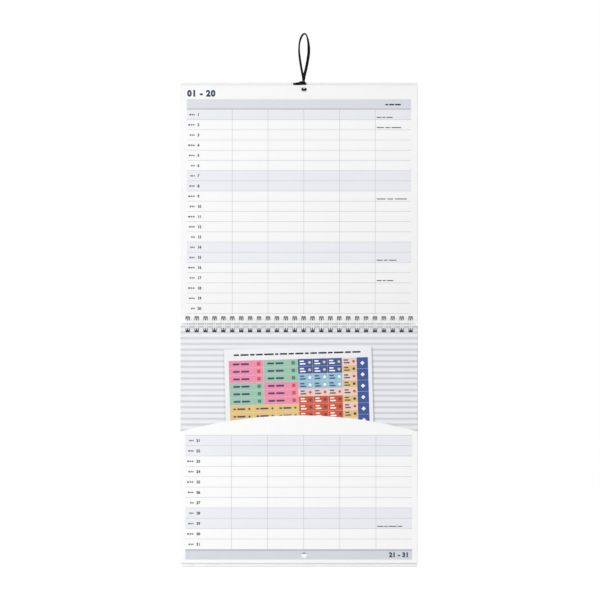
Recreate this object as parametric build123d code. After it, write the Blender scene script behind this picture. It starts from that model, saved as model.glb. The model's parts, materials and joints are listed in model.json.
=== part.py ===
"""Hanging wall calendar, opened out: pages turned up over a twin-loop wire, the month's pocket page below.

Millimetres. X runs to the right along the wire, Y goes back to the wall, Z goes up.
Every piece is drawn with the wire's axis through X and the sheets' middle at x = 0. The finished pieces
are then moved together, so that the origin is the point of the ribbon loop that the nail carries.
"""

import os
from math import cos, degrees, radians, sin, sqrt, tan

from build123d import *

os.makedirs("parts", exist_ok=True)

# Leaves and covers
leaf_w = 338.0
leaf_h = 338.8  # from the edge beside the wire to the far edge
cover_inset = 1.5  # a cover stands this far inside the leaves at each side
cover_over = 3.5  # how far the front cover reaches past the leaves
back_cover_over = 4.8
cover_t = 0.5
paper_t = 0.15
leaf_air = 0.3  # between sheets that move apart
bound_edge = 2.0  # from the wire's axis to the edge of a sheet
coming_t = 2.7  # the leaves of the months to come, pressed together

# Punched holes for the wire
loop_pitch = 12.7
hole_near = 5.5  # from the wire's axis to the nearer side of a hole
hole_w = 6.2
hole_h = 6.0

# Twin-loop wire
ring_r = 8.0  # the loops' centre line
wire_d = 1.2
leg_spacing = 2.8  # between the two wires of one loop
wire_seat = 0.3  # between a loop's inner side and the hole's edge that it bears on
seam_angle = 35.0  # the loops close behind the upper sheets, this far above the horizontal
seam_gap = 0.5  # between a loop's rounded tip and the bar it closes on
leg_steps = 9  # straight lengths that one wire of a loop is bent in
tip_steps = 3
wire_sides = 5  # flat sides that stand for the round wire, one of them facing the holes

# Holes for the nail
nail_hole_r = 4.0
nail_hole_x = 7.0
upper_nail_edge = 6.8  # from the far edge of the upper leaves to the middle of their hole
lower_nail_edge = 12.0

# Pocket on the month's page
pocket_room = 0.4  # between the pocket's front and the page
glue_w = 6.0  # glued margins at the sides
glue_foot = 24.8  # glued foot, which the nail hole goes through
pocket_side = 188.0  # height of the front at its sides
pocket_middle = 211.0

# Sheet of stickers standing in the pocket
sheet_w = 210.0
sheet_h = 280.0
sheet_t = 0.15
sheet_lean = 1.6  # degrees, leaning to the left
sheet_corner_x = -99.3  # the lower left corner, which stands on the glued foot
sheet_play = 0.1  # between that corner and the foot

# Stickers, in blocks across the sheet
sticker_t = 0.1
sticker_cut = 0.25  # the line cut between two stickers
sticker_row = 10.4  # height of a sticker in the blocks of rows
sticker_margin = 6.2  # bare sheet left of the blocks
sticker_top = 16.5  # bare sheet above the blocks
wide_w = 49.0
tag_w = (2 * wide_w - sticker_cut) / 3  # three tags are as wide as two wide stickers
small_w = 20.7
square_w = 16.0

# Ribbon
ribbon_w = 3.2
ribbon_t = 0.6
ribbon_air = 0.1  # around the ribbon where it lies between sheets
cord_d = 1.4  # the plain cord that stands for the twisted loop
cord_sides = 8
nail_x = 7.4  # the inner side of the loop's bend, where the nail carries it
nail_y = 2.5
nail_z = 413.4
knot_w = 10.0
knot_t = 3.0
knot_h = 5.4
knot_x = 4.8
knot_round = 1.2
knot_bevel = 0.5
tail_w = 9.9  # the loose ends left of the knot
tail_h = 6.4
tail_tuck = 1.5  # how far the ends reach under the knot
turn_drop = 1.2  # the ribbon's turn through the sheets lies this far under the nail holes' middle
fold_r = 3.0  # the bend of ribbon that shows in the month leaf's nail hole
fold_h = 2.8
fold_rise = 1.2

wire_r = wire_d / 2
leaf_t = 2 * paper_t  # an empty pocket leaf, pressed flat
cover_w = leaf_w - 2 * cover_inset
loop_count = int(leaf_w // loop_pitch)

# From the wire's axis
far_edge = bound_edge + leaf_h
upper_nail_hole = far_edge - upper_nail_edge
lower_nail_hole = far_edge - lower_nail_edge

# The sheets lie as far back as the loops' inner side still clears the holes' nearer edges.
rear = sqrt((ring_r - wire_r) ** 2 - (hole_near + wire_seat) ** 2)

# Planes of the upper sheets, from the back, each named by its front face
front_cover_y = rear - cover_t
turned_leaf_y = front_cover_y - leaf_t
ribbon_gap = ribbon_t + 2 * ribbon_air
month_leaf_y = turned_leaf_y - ribbon_gap - leaf_t

# Planes of the lower sheets
back_cover_y = rear - cover_t
coming_y = back_cover_y - leaf_air - coming_t
page_y = coming_y - leaf_air - paper_t
pocket_y = page_y - pocket_room - paper_t


def loop_places():
    """Middles of the punched holes, from left to right."""
    return [loop_pitch * (i - (loop_count - 1) / 2) for i in range(loop_count)]


def solid_from(sketch, front_y, thick):
    """A flat sheet cut to a sketch of X and Z, with its front face at front_y."""
    return extrude(Plane.XZ.offset(-front_y - thick) * sketch, thick)


def sheet(width, reach, nail_hole, side, front_y, thick):
    """A punched sheet above (side 1) or below (side -1) the wire, reaching as far as reach from its axis."""
    height = reach - bound_edge
    outline = Pos(0, side * (bound_edge + height / 2)) * Rectangle(width, height)
    holes = Pos(0, side * (hole_near + hole_h / 2)) * GridLocations(loop_pitch, 1, loop_count, 1)
    outline -= holes * Rectangle(hole_w, hole_h)
    outline -= Pos(nail_hole_x, side * nail_hole) * Circle(nail_hole_r)
    return solid_from(outline, front_y, thick)


def upper_sheet(width, reach, front_y, thick):
    return sheet(width, reach, upper_nail_hole, 1, front_y, thick)


def lower_sheet(width, reach, front_y, thick):
    return sheet(width, reach, lower_nail_hole, -1, front_y, thick)


def pocket_front():
    """The pocket's curved front, with the margins that are glued to the page behind it."""
    foot = -far_edge
    side_x = leaf_w / 2
    arc = ThreePointArc(
        (-side_x, foot + pocket_side), (0, foot + pocket_middle), (side_x, foot + pocket_side)
    )
    frame = Polyline(
        (side_x, foot + pocket_side), (side_x, foot), (-side_x, foot), (-side_x, foot + pocket_side)
    )
    outline = make_face([arc, frame])
    outline -= Pos(nail_hole_x, -lower_nail_hole) * Circle(nail_hole_r)
    inside = Pos(0, foot + glue_foot + leaf_h / 2) * Rectangle(leaf_w - 2 * glue_w, leaf_h)
    panel = solid_from(outline, pocket_y, paper_t)
    margins = solid_from(outline - inside, pocket_y + paper_t, pocket_room)
    return panel + margins


def on_ring(x, angle, radius):
    """A point of a loop's centre line, angle degrees up from the wall's side of the axis."""
    return (x, radius * cos(radians(angle)), radius * sin(radians(angle)))


def loop_path(x):
    """Centre line of one twin loop and the half bars beside it, as short straight lengths."""
    tip_r = leg_spacing / 2
    # the bar and the tip's end lie either side of the seam
    bar_angle = seam_angle + degrees((wire_r + seam_gap / 2) / ring_r)
    tip_angle = seam_angle - degrees((wire_r + seam_gap / 2 + tip_r) / ring_r) + 360
    swing = (tip_angle - bar_angle) / leg_steps
    # corners as far outside the loop's circle as the straight lengths dip inside it
    radius = 2 * ring_r / (1 + cos(radians(swing / 2)))
    leg = [bar_angle + swing * i for i in range(leg_steps + 1)]
    points = [on_ring(x - loop_pitch / 2, bar_angle, radius)]
    points += [on_ring(x - tip_r, angle, radius) for angle in leg]
    for i in range(1, tip_steps):
        turn = radians(180 * i / tip_steps)
        out = degrees(tip_r * sin(turn) / ring_r)
        points.append(on_ring(x - tip_r * cos(turn), tip_angle + out, radius))
    points += [on_ring(x + tip_r, angle, radius) for angle in reversed(leg)]
    points.append(on_ring(x + loop_pitch / 2, bar_angle, radius))
    return points


def loop_wire(x):
    """One twin loop, from the middle of one bar to the middle of the next."""
    points = loop_path(x)
    start = Plane(origin=points[0], x_dir=(0, points[0][1], points[0][2]), z_dir=(1, 0, 0))
    section = start * RegularPolygon(wire_r, wire_sides)
    return sweep(section, path=Polyline(*points), transition=Transition.RIGHT)


def twin_loop_wire():
    """The whole wire, bent from one length."""
    first = loop_wire(loop_places()[0])
    loops = [Pos(loop_pitch * i, 0, 0) * first for i in range(loop_count)]
    return loops[0].fuse(*loops[1:])


def ribbon_loop():
    """The loop that hangs on the nail, as a plain cord from the knot over the nail and back."""
    route = [
        (6.2, 3.25, 346.4),
        (5.4, 3.2, 353.5),
        (3.3, 3.1, 363.5),
        (1.2, 3.0, 376.5),
        (-0.4, 2.8, 390.0),
        (0.4, 2.6, 401.5),
        (2.7, 2.5, 409.0),
        (5.4, 2.5, 414.2),
        (9.5, 2.5, 414.0),
        (12.1, 2.5, 407.4),
        (13.6, 2.5, 398.0),
        (13.9, 2.3, 387.0),
        (12.0, 2.1, 374.5),
        (9.6, 1.95, 362.5),
        (7.2, 1.8, 353.5),
        (6.2, 1.75, 346.4),
    ]
    return cord(route)


def cord(route):
    """A cord along straight runs with an arc at each turn, as large as the runs beside it allow."""
    points = [Vector(*p) for p in route]
    runs = [b - a for a, b in zip(points, points[1:])]
    turns = [a.get_angle(b) for a, b in zip(runs, runs[1:])]
    shorter = [min(a.length, b.length) for a, b in zip(runs, runs[1:])]
    radii = [0.45 * run / tan(radians(turn) / 2) for run, turn in zip(shorter, turns)]
    print("ribbon's radii", [round(r, 1) for r in radii])
    path = FilletPolyline(*points, radius=radii)
    section = Plane(path @ 0, z_dir=path % 0) * RegularPolygon(cord_d / 2, cord_sides)
    tube = sweep(section, path=path)
    print("tube's volume over section times length", tube.volume / (section.area * path.length))
    return tube


def ribbon_turn():
    """The ribbon round the cover and the turned leaf: through their nail holes and over their top edges."""
    bottom = upper_nail_hole - turn_drop
    height = far_edge + cover_over + leaf_air + ribbon_t - bottom
    front = month_leaf_y + leaf_t + ribbon_air
    depth = rear + ribbon_air + ribbon_t - front
    middle = Pos(front + depth / 2, bottom + height / 2)
    outer = middle * RectangleRounded(depth, height, ribbon_t)
    inner = middle * Rectangle(depth - 2 * ribbon_t, height - 2 * ribbon_t)
    turn = extrude(Plane.YZ * (outer - inner), ribbon_w / 2, both=True)
    return Pos(nail_hole_x, 0, 0) * turn


def ribbon_fold():
    """The bend of the ribbon's turn that comes forward into the month leaf's nail hole."""
    middle = Pos(nail_hole_x, upper_nail_hole + fold_rise)
    crescent = middle * Circle(fold_r) - middle * Pos(0, fold_h) * Circle(fold_r)
    front = month_leaf_y + ribbon_air / 2
    return solid_from(crescent, front, leaf_t + ribbon_air)


def ribbon_knot():
    """The knot above the sheets, its loose ends, and the turn of ribbon that carries the sheets."""
    knot_y = front_cover_y - ribbon_air - knot_t / 2
    knot_z = far_edge + ribbon_air + knot_h / 2
    knot = extrude(Plane.YZ * RectangleRounded(knot_t, knot_h, knot_round), knot_w / 2, both=True)
    knot = Pos(knot_x, knot_y, knot_z) * chamfer(knot.faces().filter_by(Axis.X).edges(), knot_bevel)
    tail_x = knot_x - knot_w / 2 - tail_w / 2 + tail_tuck
    tail_y = month_leaf_y + leaf_t + ribbon_air + ribbon_t / 2
    tail_z = knot_z + knot_h / 2 - knot_round - tail_h / 2
    tail = Pos(tail_x, tail_y, tail_z) * Box(tail_w, ribbon_t, tail_h)
    return knot + ribbon_turn() + ribbon_fold() + tail


def on_sheet(u, v, y):
    """The place on the leaning sheet that is u from its left edge and v down from its top edge."""
    foot = -far_edge + glue_foot + sheet_play
    corner = Location((sheet_corner_x, y, foot), (0, -sheet_lean, 0))
    return corner * Location((u, 0, sheet_h - v))


def sticker_sheet():
    return on_sheet(sheet_w / 2, sheet_h / 2, page_y - sheet_t / 2) * Box(sheet_w, sheet_t, sheet_h)


def stickers(left, row, columns, rows, width, height=sticker_row):
    """A block of stickers side by side, its first one in a row counted down from the top."""
    block = []
    for i in range(columns):
        for j in range(row, row + rows):
            u = left + width / 2 + (width + sticker_cut) * i
            v = sticker_top + height / 2 + (height + sticker_cut) * j
            place = on_sheet(u, v, page_y - sheet_t - sticker_t / 2)
            block.append(place * Box(width, sticker_t, height))
    return block


def sticker_groups():
    """The stickers of each colour, in blocks of wide, small and square ones from left to right."""
    wide = sticker_margin
    wide_2 = wide + wide_w + sticker_cut
    small = wide_2 + wide_w + sticker_cut
    small_4 = small + 3 * (small_w + sticker_cut)
    square = small_4 + small_w + sticker_cut
    groups = {
        "pink": stickers(wide, 0, 1, 3, wide_w) + stickers(wide_2, 3, 1, 3, wide_w),
        "mint": stickers(wide_2, 0, 1, 3, wide_w) + stickers(wide, 3, 1, 3, wide_w),
        "mustard": stickers(wide, 6, 3, 4, tag_w),
        "navy": stickers(small, 0, 3, 2, small_w) + stickers(square, 0, 1, 7, square_w, square_w),
        "sky": stickers(small, 2, 3, 2, small_w),
        "blush": stickers(small, 4, 3, 1, small_w),
        "orange": stickers(small, 5, 3, 5, small_w),
    }
    for row in range(10):
        colour = "mustard" if row % 2 else "blush"
        groups[colour] += stickers(small_4, row, 1, 1, small_w)
    return groups


pieces = {
    "front_cover": upper_sheet(cover_w, far_edge + cover_over, front_cover_y, cover_t),
    "turned_leaf": upper_sheet(leaf_w, far_edge, turned_leaf_y, leaf_t),
    "month_leaf": upper_sheet(leaf_w, far_edge, month_leaf_y, leaf_t),
    "twin_loop_wire": twin_loop_wire(),
    "back_cover": lower_sheet(cover_w, far_edge + back_cover_over, back_cover_y, cover_t),
    "coming_leaves": lower_sheet(leaf_w, far_edge, coming_y, coming_t),
    "pocket_page": lower_sheet(leaf_w, far_edge, page_y, paper_t),
    "pocket_front": pocket_front(),
    "sticker_sheet": sticker_sheet(),
    "ribbon_loop": ribbon_loop(),
    "ribbon_knot": ribbon_knot(),
}

for colour, group in sticker_groups().items():
    pieces[f"stickers_{colour}"] = Compound(children=group)

to_nail = Location((-nail_x, -nail_y, -nail_z))
for name, piece in pieces.items():
    export_step(to_nail * piece, f"parts/{name}.step")
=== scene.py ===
# %% [markdown]
# A wire-bound wall calendar hangs from a ribbon, opened out: the month's upper page is turned up over the
# wire, and its lower page has a curved pocket with a sheet of stickers in it. The imported solids already
# have their place, so they are loaded first and everything else is fitted to them.

# %% The frame
import json
import math

import bmesh
import bpy
from mathutils import Matrix, Vector


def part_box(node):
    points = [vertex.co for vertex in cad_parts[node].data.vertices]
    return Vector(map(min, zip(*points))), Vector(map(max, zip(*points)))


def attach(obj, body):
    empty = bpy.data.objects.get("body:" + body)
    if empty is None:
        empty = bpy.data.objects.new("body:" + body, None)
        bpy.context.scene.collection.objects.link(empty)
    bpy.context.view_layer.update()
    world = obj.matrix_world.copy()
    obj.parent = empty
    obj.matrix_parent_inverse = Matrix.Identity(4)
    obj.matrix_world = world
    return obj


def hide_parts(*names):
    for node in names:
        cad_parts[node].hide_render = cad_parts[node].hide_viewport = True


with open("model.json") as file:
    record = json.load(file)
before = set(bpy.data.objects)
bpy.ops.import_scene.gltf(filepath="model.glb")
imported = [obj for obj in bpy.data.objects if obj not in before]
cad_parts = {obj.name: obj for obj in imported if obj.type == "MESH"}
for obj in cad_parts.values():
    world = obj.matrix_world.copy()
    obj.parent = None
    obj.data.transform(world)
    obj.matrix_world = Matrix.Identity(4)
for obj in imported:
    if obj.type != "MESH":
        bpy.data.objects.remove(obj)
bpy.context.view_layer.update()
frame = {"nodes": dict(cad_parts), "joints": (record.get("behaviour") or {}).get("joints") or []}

# %% [markdown]
# Nearly everything on a calendar is measured from its wire. The joints turn about the wire's axis, so its
# place is read from the first one. The sheets' edges come from the boxes of the solids. A point is then
# named the way a maker would: millimetres to the right of the middle, behind the axis and above it.

# %% Places on the calendar
mm = 0.001
wire_axis = Vector(frame["joints"][0]["pos_m"])


def at(x, y, z):
    """The place x mm right of the wire's middle, y mm behind its axis and z mm above it."""
    return wire_axis + Vector((x, y, z)) * mm


def box_mm(node):
    """The low and high corners of a solid, in mm from the wire's middle."""
    return [(corner - wire_axis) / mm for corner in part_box(node)]


leaf_low, leaf_high = box_mm("month_leaf")
leaf_w, far_edge = leaf_high.x - leaf_low.x, leaf_high.z
print("leaf", round(leaf_w, 1), "wide; far edge", round(far_edge, 1), "from the axis")

# %% [markdown]
# The photograph is taken straight on through a long lens, so the camera stands far off and level. The
# wire's loops stand 12.7 mm apart on the object and 8.92 pixels apart in the picture, which gives the
# scale. The lens then follows from the width that the picture covers at that distance.

# %% Camera
image_px = 600
loop_pitch_px = 8.92
wire_px = (299.15, 324.25)  # the wire's middle in the picture
loop_pitch = 12.7
camera_distance = 6.0

pixel = loop_pitch * mm / loop_pitch_px
aim = wire_axis + Vector((image_px / 2 - wire_px[0], 0, wire_px[1] - image_px / 2)) * pixel
camera_data = bpy.data.cameras.new("camera")
camera_data.sensor_width = 36.0
camera_data.lens = camera_data.sensor_width * camera_distance / (image_px * pixel)
camera_data.clip_end = 50
camera = bpy.data.objects.new("camera", camera_data)
camera.location = aim - Vector((0, camera_distance, 0))
camera.rotation_euler = (math.pi / 2, 0, 0)
scene = bpy.context.scene
scene.collection.objects.link(camera)
scene.camera = camera
print("one pixel covers", round(pixel / mm, 3), "mm; lens", round(camera_data.lens), "mm")

# %% [markdown]
# Materials are trees of nodes. Short helpers add a node, set its values and link what feeds it, so that each
# material below reads as a list of what it is made of. Colours are given as they look beside white paper and
# are turned into the linear light values that a shader works in.

# %% Helpers for node trees


def feed(tree, node, inputs):
    """Gives a node its inputs. Each is a value, or the socket that feeds it."""
    for name, value in dict(inputs).items():
        if isinstance(value, bpy.types.NodeSocket):
            tree.links.new(value, node.inputs[name])
        else:
            node.inputs[name].default_value = value


def add(tree, kind, inputs=(), **settings):
    """Adds a node with its settings and its inputs."""
    node = tree.nodes.new(kind)
    for name, value in settings.items():
        setattr(node, name, value)
    feed(tree, node, inputs)
    return node


def out(tree, kind, inputs=(), **settings):
    """The first output of a node that it adds."""
    return add(tree, kind, inputs, **settings).outputs[0]


def maths(tree, operation, *values, **settings):
    """What an operation makes of these numbers."""
    return out(tree, "ShaderNodeMath", enumerate(values), operation=operation, **settings)


print("helpers for nodes: feed, add, out, maths")

# %% Helpers for patterns


def ranged(tree, value, start, end, low=0.0, high=1.0, ease="LINEAR"):
    """Low up to where the value starts, high from where it ends, and a ramp between them."""
    inputs = {"Value": value, "From Min": start, "From Max": end, "To Min": low, "To Max": high}
    return out(tree, "ShaderNodeMapRange", inputs, interpolation_type=ease)


def scaled(tree, colour, share):
    """A colour times a number."""
    return out(tree, "ShaderNodeVectorMath", {0: colour, "Scale": share}, operation="SCALE")


def blend(tree, share, first, second):
    """A colour that goes from the first to the second as the share goes from 0 to 1."""
    return add(tree, "ShaderNodeMix", {"Factor": share, 6: first, 7: second}, data_type="RGBA").outputs[2]


def noise(tree, place, scale, detail, roughness=0.5):
    """An even, random pattern from 0 to 1."""
    inputs = {"Vector": place, "Scale": scale, "Detail": detail, "Roughness": roughness}
    return add(tree, "ShaderNodeTexNoise", inputs).outputs["Fac"]


def relief(tree, height, strength, distance):
    """How a surface faces where it has this height."""
    return out(tree, "ShaderNodeBump", {"Height": height, "Strength": strength, "Distance": distance})


def own_place(tree):
    """The place of a point on its own mesh."""
    return add(tree, "ShaderNodeTexCoord").outputs["Object"]


def parts(tree, place):
    """The X, Y and Z of a place."""
    return add(tree, "ShaderNodeSeparateXYZ", {0: place}).outputs


print("helpers for patterns: ranged, scaled, blend, noise, relief, own_place, parts")

# %% Groups, materials and colours


def shader_group(name, inputs):
    """A group of shader nodes with named inputs and their first values, and its input sockets."""
    group = bpy.data.node_groups.new(name, "ShaderNodeTree")
    for label, value in inputs.items():
        kind = "NodeSocketColor" if isinstance(value, tuple) else "NodeSocketFloat"
        group.interface.new_socket(label, in_out="INPUT", socket_type=kind).default_value = value
    return group, group.nodes.new("NodeGroupInput").outputs


def gives(group, **outputs):
    """Gives a group its named outputs and what feeds them."""
    kinds = {"Colour": "NodeSocketColor", "Height": "NodeSocketFloat", "Geometry": "NodeSocketGeometry"}
    for name in outputs:
        group.interface.new_socket(name, in_out="OUTPUT", socket_type=kinds[name])
    add(group, "NodeGroupOutput", outputs)


def material(name, make_inputs):
    """A material whose Principled shader has the inputs that a function makes in its tree."""
    made = bpy.data.materials.new(name)
    made.use_nodes = True
    feed(made.node_tree, made.node_tree.nodes["Principled BSDF"], make_inputs(made.node_tree))
    return made


def linear(red, green, blue):
    """A colour that is written from 0 to 255 as it looks, as linear light with an alpha of 1."""
    shares = [c / 255 for c in (red, green, blue)]
    return tuple(c / 12.92 if c < 0.04045 else ((c + 0.055) / 1.055) ** 2.4 for c in shares) + (1.0,)


print("mid grey, 128 of 255, is", round(linear(128, 128, 128)[0], 3), "in linear light")

# %% [markdown]
# The ribbon is a narrow woven strip with fine ribs across it. Its ribs follow its length, wherever it
# twists, so the pattern reads the piece's own UV map, which is laid out in metres. The ribs could be
# modelled, but at half a millimetre they are bump. Their tops are coloured lighter, a painted sheen along
# the ribs, and the threads' tone wanders a little at random.

# %% The ribbon's weave
rib_share = 0.35  # how high the ribs stand beside the threads
tree, given = shader_group("ribbon weave", {
    "Colour": (0.01, 0.012, 0.02, 1.0), "Thread Sheen": (0.05, 0.06, 0.09, 1.0), "Rib": 0.45 * mm,
})
uv = out(tree, "ShaderNodeUVMap", uv_map="weave")
turns = maths(tree, "DIVIDE", parts(tree, uv)["Y"], given["Rib"])
rib = maths(tree, "SINE", maths(tree, "MULTIPLY", turns, 2 * math.pi))
height = maths(tree, "MULTIPLY_ADD", rib, rib_share, noise(tree, uv, 6000.0, 2.0))
# painted sheen on the ribs' tops, with the threads' random tone: the higher, the lighter the colour
shade = ranged(tree, height, 0.0, 1.1)
gives(tree, Colour=blend(tree, shade, given["Colour"], given["Thread Sheen"]), Height=height)
ribbon_weave = tree


def woven(tree):
    """The ribbon's shader inputs."""
    weave = add(tree, "ShaderNodeGroup", {
        "Colour": linear(6, 7, 13), "Thread Sheen": linear(17, 19, 32)}, node_tree=ribbon_weave).outputs
    return {
        "Base Color": weave["Colour"], "Normal": relief(tree, weave["Height"], 0.5, 0.05 * mm),
        "Roughness": 0.6, "Specular IOR Level": 0.08,
    }


ribbon_cloth = material("woven_ribbon", woven)
print("made", ribbon_cloth.name)

# %% [markdown]
# A ribbon keeps its width and its thickness while it bends and twists. So it is made by carrying one flat
# section along a line, with a direction for its width at each point. The section's edges are a little
# thicker than its middle, as a woven edge is. The same helper makes the loop, the knot and its ends.

# %% A strip that follows a line
ribbon_w = 4.0 * mm
gathered_w = 3.0 * mm  # drawn together in the knot and in the nail holes
ribbon_t = 0.5 * mm


def as_mesh(built, name):
    """A mesh of what a bmesh holds."""
    mesh = bpy.data.meshes.new(name)
    built.to_mesh(mesh)
    built.free()
    return mesh


def strip(line, across, width=ribbon_w):
    """A woven strip along a line, its width along the given directions, as a mesh with a weave UV map."""
    half, skin = width / 2, ribbon_t / 2
    outline = [(-1, -0.7), (-0.94, -1), (-0.8, -0.75), (0.8, -0.75), (0.94, -1), (1, -0.7)]
    outline += [(-u, -v) for u, v in outline]
    made = bmesh.new()
    weave_map = made.loops.layers.uv.new("weave")
    rings, lengths, along = [], [], 0.0
    for i, point in enumerate(line):
        before, after = line[max(i - 1, 0)], line[min(i + 1, len(line) - 1)]
        ahead = (after - before).normalized()
        side = (across[i] - ahead * across[i].dot(ahead)).normalized()
        up = ahead.cross(side)
        along += (point - before).length
        lengths.append(along)
        rings.append([made.verts.new(point + side * half * u + up * skin * v) for u, v in outline])
    count = len(outline)
    for i in range(len(rings) - 1):
        for k in range(count):
            m = (k + 1) % count
            face = made.faces.new((rings[i][k], rings[i][m], rings[i + 1][m], rings[i + 1][k]))
            face.smooth = True
            corners = ((k, i), (m, i), (m, i + 1), (k, i + 1))
            for loop, (c, j) in zip(face.loops, corners):
                loop[weave_map].uv = (outline[c][0] * half, lengths[j])
    made.faces.new(rings[0])
    made.faces.new(rings[-1][::-1])
    bmesh.ops.recalc_face_normals(made, faces=made.faces)
    return as_mesh(made, "strip")


print("the ribbon is", round(ribbon_w / mm, 2), "mm wide and", round(ribbon_t / mm, 2), "mm thick")

# %% [markdown]
# The loop of ribbon hangs on the nail and carries the whole calendar, so it comes down in two long, nearly
# straight strands that cross just above the knot, and it bends sharply only over the nail. A NURBS curve
# through a few given points gives that smooth line. The ribbon shows its flat side low on the
# right and stands halfway to its edge or more over the nail and on the left, so its width turns along it.

# %% The ribbon's line
ribbon_route = [
    (6.2, 3.25, 346.4), (5.4, 3.2, 353.5), (3.3, 3.1, 363.5), (1.2, 3.0, 376.5), (-0.4, 2.8, 390.0),
    (0.4, 2.6, 401.5), (2.9, 2.5, 409.0), (6.0, 2.5, 413.8), (9.6, 2.5, 413.8), (12.1, 2.5, 407.4),
    (13.6, 2.5, 398.0), (13.9, 2.3, 387.0), (12.0, 2.1, 374.5), (9.6, 1.95, 362.5), (7.2, 1.8, 353.5),
    (6.2, 1.75, 346.4),
]


def mesh_of(data):
    """The mesh that a curve or a text makes."""
    holder = bpy.data.objects.new("holder", data)
    mesh = bpy.data.meshes.new_from_object(holder)
    bpy.data.objects.remove(holder)
    return mesh


def smooth_line(route, resolution=10):
    """Points along the smooth curve that these control points give, which are in mm."""
    curve = bpy.data.curves.new("route", "CURVE")
    curve.dimensions = "3D"
    curve.resolution_u = resolution
    spline = curve.splines.new("NURBS")
    spline.points.add(len(route) - 1)
    for control, place in zip(spline.points, route):
        control.co = (*at(*place), 1)
    spline.order_u = 3
    spline.use_endpoint_u = True
    return [v.co.copy() for v in mesh_of(curve).vertices]


ribbon_line = smooth_line(ribbon_route)

# %% The ribbon's loop
ribbon_turns = [
    (0.0, 40), (0.18, 44), (0.3, 58), (0.39, 46), (0.49, 54), (0.57, 62), (0.65, 44), (0.74, 6), (0.9, 0),
    (1.0, 20),
]  # each a share of the way and the turn there, in degrees


def between(keys, where):
    """The value at a place between the keys, each of them a place and its value."""
    for (start, low), (end, high) in zip(keys, keys[1:]):
        if where <= end:
            share = (where - start) / (end - start)
            return low + (high - low) * share * share * (3 - 2 * share)
    return keys[-1][1]


def piece(name, mesh, *finishes):
    """Puts a mesh in the scene as a piece with these finishes."""
    mesh.name = name
    made = bpy.data.objects.new(name, mesh)
    scene.collection.objects.link(made)
    if mesh.materials:
        mesh.materials.clear()
    for finish in finishes:
        mesh.materials.append(finish)
    return made


last_point = len(ribbon_line) - 1
back = Vector((0, 1, 0))
ribbon_across = []
for i in range(len(ribbon_line)):
    ahead = ribbon_line[min(i + 1, last_point)] - ribbon_line[max(i - 1, 0)]
    turn = math.radians(between(ribbon_turns, i / last_point))
    ribbon_across.append(ahead.cross(back).normalized() * math.cos(turn) + back * math.sin(turn))
ribbon_loop = piece("ribbon_strap", strip(ribbon_line, ribbon_across), ribbon_cloth)
print("ribbon loop", len(ribbon_loop.data.polygons), "faces")

# %% [markdown]
# Above the sheets the two strands are tied together. The knot is a few snug turns of the same ribbon
# around its own strands, with two cut ends to the left. Below it both strands carry the sheets, side by
# side: they pass between the leaves, spread a little above the nail holes and meet again at the holes' foot,
# go back through them, up behind the cover and over its top edge. Each of these is one more strip along a
# short line, which looks tied where a lump would not.

# %% The knot's turns
knot_x, knot_y, knot_z = 4.9, 2.45, 343.7
knot_wraps = 3
knot_reach = 3.3  # how far the middles of the first and last turn lie left and right of the knot's middle
knot_deep, knot_tall = 1.1, 2.5
steps_a_turn = 20


def wound():
    """The turns round the knot, from its left end to its right end."""
    line, across = [], []
    for i in range(knot_wraps * steps_a_turn + 1):
        share = i / (knot_wraps * steps_a_turn)
        angle = 2 * math.pi * knot_wraps * share
        snug = 1 - 0.18 * abs(2 * share - 1)
        line.append(at(
            knot_x - knot_reach + 2 * knot_reach * share,
            knot_y + knot_deep * snug * math.cos(angle),
            knot_z + knot_tall * snug * math.sin(angle),
        ))
        across.append(Vector((1, 0.12 * math.sin(angle), -0.25 * math.cos(angle))))
    return strip(line, across, gathered_w)


knot_turns = wound()
print("turns round the knot", len(knot_turns.polygons), "faces")

# %% Where the strands go
nail_hole_x = 7.0
upper_nail_hole = 334.0
half_t = ribbon_t / mm / 2
air = 0.1  # between the ribbon and the sheets beside it
leaf_gap = box_mm("turned_leaf")[0].y - air - half_t
tail_face = box_mm("month_leaf")[0].y - air - half_t
cover_high = box_mm("front_cover")[1]
behind_cover = cover_high.y + air + half_t
cover_top = cover_high.z + 0.15 + half_t
hole_turn_z = 332.6  # where the strands turn back through the nail holes
side_by_side = 2.7  # how far apart the two strands lie where they carry the sheets
spread = 9.5  # and just above the nail holes
carrying = [
    (side_by_side, leaf_gap - 0.4, knot_z - 1), (side_by_side, leaf_gap, 341.0), (spread, leaf_gap, 336.6),
    (side_by_side, leaf_gap - 0.2, 334.7), (side_by_side, leaf_gap - 0.2, hole_turn_z),
    (side_by_side, behind_cover, hole_turn_z), (side_by_side, behind_cover, 334.7),
    (spread, behind_cover, 336.6), (side_by_side, behind_cover, 341.5),
    (side_by_side, behind_cover, cover_top), (side_by_side, knot_y + 1.6, cover_top),
    (side_by_side, knot_y + 0.6, cover_top - 0.4),
]
front_end = [(2.6, 1.9, 342.6), (0.4, tail_face, 342.1), (-3.6, tail_face, 341.9), (-8.5, tail_face, 342.5)]
back_end = [(2.4, 3.2, 343.2), (0.6, 3.3, 343.4), (-2.0, 3.4, 343.3), (-4.6, 3.5, 342.9)]
print("strands pass", round(leaf_gap, 2), "and", round(behind_cover, 2), "mm behind the axis")

# %% The knot and what it ties


def length_of_ribbon(route, resolution, across):
    """A gathered length of the ribbon along points in mm, with one direction for its width."""
    line = smooth_line(route, resolution)
    return strip(line, [Vector(across)] * len(line), gathered_w)


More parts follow.
